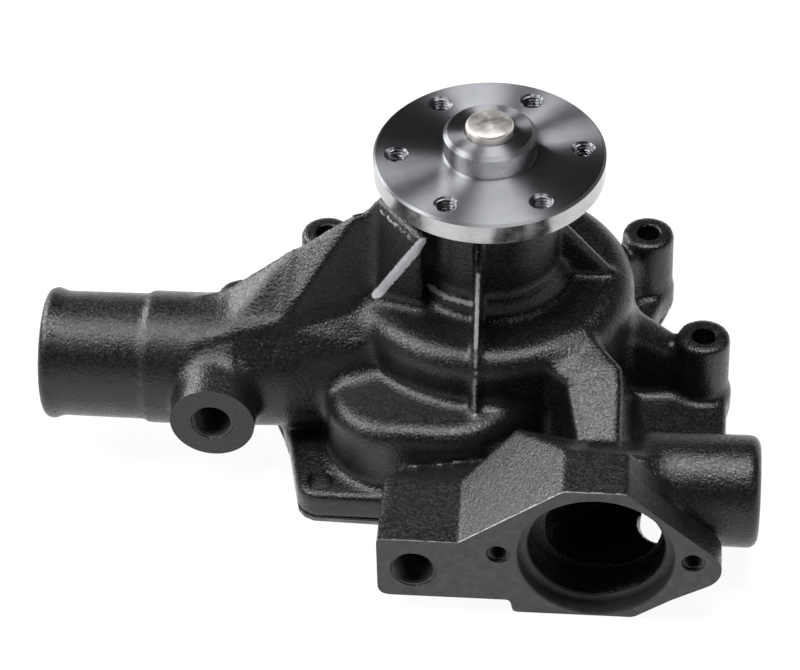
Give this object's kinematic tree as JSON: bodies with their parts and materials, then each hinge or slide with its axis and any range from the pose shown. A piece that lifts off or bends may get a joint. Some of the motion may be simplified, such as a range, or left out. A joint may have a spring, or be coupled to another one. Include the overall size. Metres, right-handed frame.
{
  "type": "engine coolant pump",
  "caption": "Cast coolant pump for an engine: steel drive hub on a bearing shaft, impeller chamber, inlet hose tube and a built-in thermostat housing.",
  "frame": {"origin": "on the drive shaft's axis, in the plane where the pump bolts to the engine", "axes": "+Z along the shaft towards the hub, -Y towards the side of the thermostat opening, -X towards the inlet hose tube's end"},
  "size_m": [0.2664, 0.1816, 0.1283],
  "materials": {
    "painted_casting": "semi-gloss black paint over rough iron casting, machined faces bare",
    "turned_steel": "bright fine-turned steel",
    "bearing_steel": "ground steel",
    "zinc_plate": "zinc-plated steel",
    "gasket_fibre": "matt dark fibre",
    "impeller_iron": "as cast, machined back",
    "seal_rubber": "matt moulded rubber",
    "seal_brass": "drawn brass",
    "seal_carbon": "lapped graphite",
    "seal_ceramic": "lapped white ceramic",
    "cage_plastic": "natural moulded nylon"
  },
  "bodies": {
    "pump_housing": {"pump_body": "painted_casting", "gasket": "gasket_fibre", "back_plate": "zinc_plate", "bearing_outer_race": "bearing_steel", "bearing_seal_rear": "seal_rubber", "bearing_seal_front": "seal_rubber", "seal_carbon_ring": "seal_carbon", "seal_bellows": "seal_rubber", "seal_cup": "seal_brass", "seal_spring": "bearing_steel", "plate_screw_1": "zinc_plate", "plate_screw_2": "zinc_plate", "plate_screw_3": "zinc_plate", "plate_screw_4": "zinc_plate", "plate_screw_5": "zinc_plate"},
    "rotor": {"hub_flange": "turned_steel", "drive_shaft": "bearing_steel", "impeller": "impeller_iron", "water_slinger": "seal_rubber", "seal_seat_boot": "seal_rubber", "seal_ceramic_seat": "seal_ceramic"},
    "rear_ball_row": {"ball_cage_rear": "cage_plastic", "ball_rear_1": "bearing_steel", "ball_rear_2": "bearing_steel", "ball_rear_3": "bearing_steel", "ball_rear_4": "bearing_steel", "ball_rear_5": "bearing_steel", "ball_rear_6": "bearing_steel", "ball_rear_7": "bearing_steel", "ball_rear_8": "bearing_steel"},
    "front_ball_row": {"ball_cage_front": "cage_plastic", "ball_front_1": "bearing_steel", "ball_front_2": "bearing_steel", "ball_front_3": "bearing_steel", "ball_front_4": "bearing_steel", "ball_front_5": "bearing_steel", "ball_front_6": "bearing_steel", "ball_front_7": "bearing_steel", "ball_front_8": "bearing_steel"}
  },
  "joints": [
    {"name": "rotor_spin", "type": "hinge", "parent": "pump_housing", "child": "rotor", "pos_m": [0, 0, 0.081], "axis": [0, 0, 1], "continuous": true},
    {"name": "rear_row_spin", "type": "hinge", "parent": "pump_housing", "child": "rear_ball_row", "pos_m": [0, 0, 0.073], "axis": [0, 0, 1], "continuous": true},
    {"name": "front_row_spin", "type": "hinge", "parent": "pump_housing", "child": "front_ball_row", "pos_m": [0, 0, 0.0887], "axis": [0, 0, 1], "continuous": true}
  ],
  "couplings": [
    {"joint": "rear_row_spin", "follows": "rotor_spin", "ratio": 0.378},
    {"joint": "front_row_spin", "follows": "rotor_spin", "ratio": 0.378}
  ]
}
